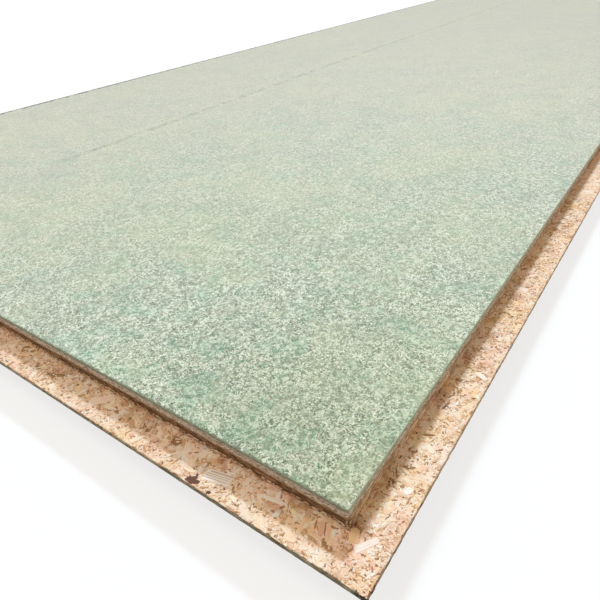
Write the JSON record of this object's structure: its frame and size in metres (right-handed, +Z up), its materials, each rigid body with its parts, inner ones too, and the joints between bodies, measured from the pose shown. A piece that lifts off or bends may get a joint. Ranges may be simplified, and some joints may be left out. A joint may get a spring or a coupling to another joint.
{
  "type": "chipboard floor panel",
  "caption": "Flat chipboard flooring sheet with a pale green face, a tongue along one long edge and one short end, and the matching groove along the opposite edges.",
  "frame": {"origin": "middle of the underside, under the centre of the whole sheet with its tongues", "axes": "+X along the length towards the grooved short end, +Y across the width towards the grooved long edge, +Z up out of the laid face"},
  "size_m": [2.413, 0.613, 0.022],
  "materials": {
    "chipboard": "matt, fine sanded face of dense chips with a green dye, machined edges in bare brown flakes"
  },
  "bodies": {
    "root": {"floor_panel": "chipboard"}
  },
  "joints": []
}
